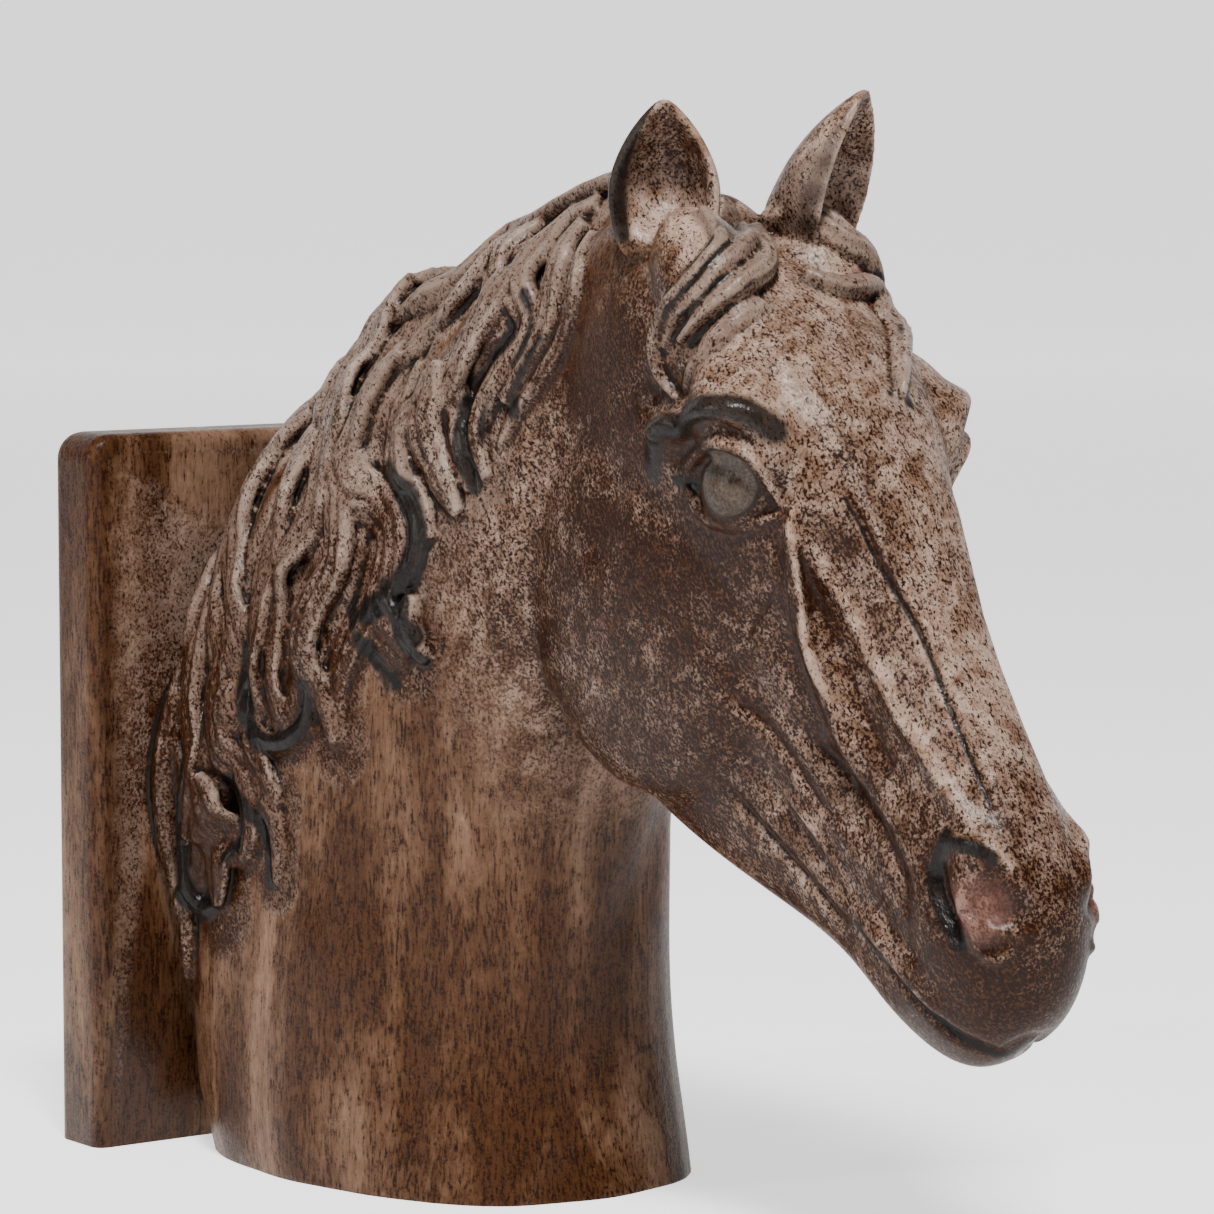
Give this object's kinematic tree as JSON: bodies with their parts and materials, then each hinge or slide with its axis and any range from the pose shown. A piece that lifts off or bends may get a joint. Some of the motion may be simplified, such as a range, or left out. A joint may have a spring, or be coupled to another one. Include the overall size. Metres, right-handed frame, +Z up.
{
  "type": "horse head bookend",
  "caption": "Bust of a horse with a carved mane growing out of an upright slab; stands on its flat foot and holds books upright with its flat back.",
  "frame": {"origin": "on the flat underside, in the horse's middle plane, under the neck", "axes": "+X the way the horse looks, away from the books; +Y the horse's left; +Z up"},
  "size_m": [0.224, 0.104, 0.194],
  "materials": {
    "glazed_resin": "cast resin, taupe under a rubbed brown glaze with charcoal in the cuts, clear varnish"
  },
  "bodies": {
    "root": {"horse_head_bookend": "glazed_resin"}
  },
  "joints": []
}
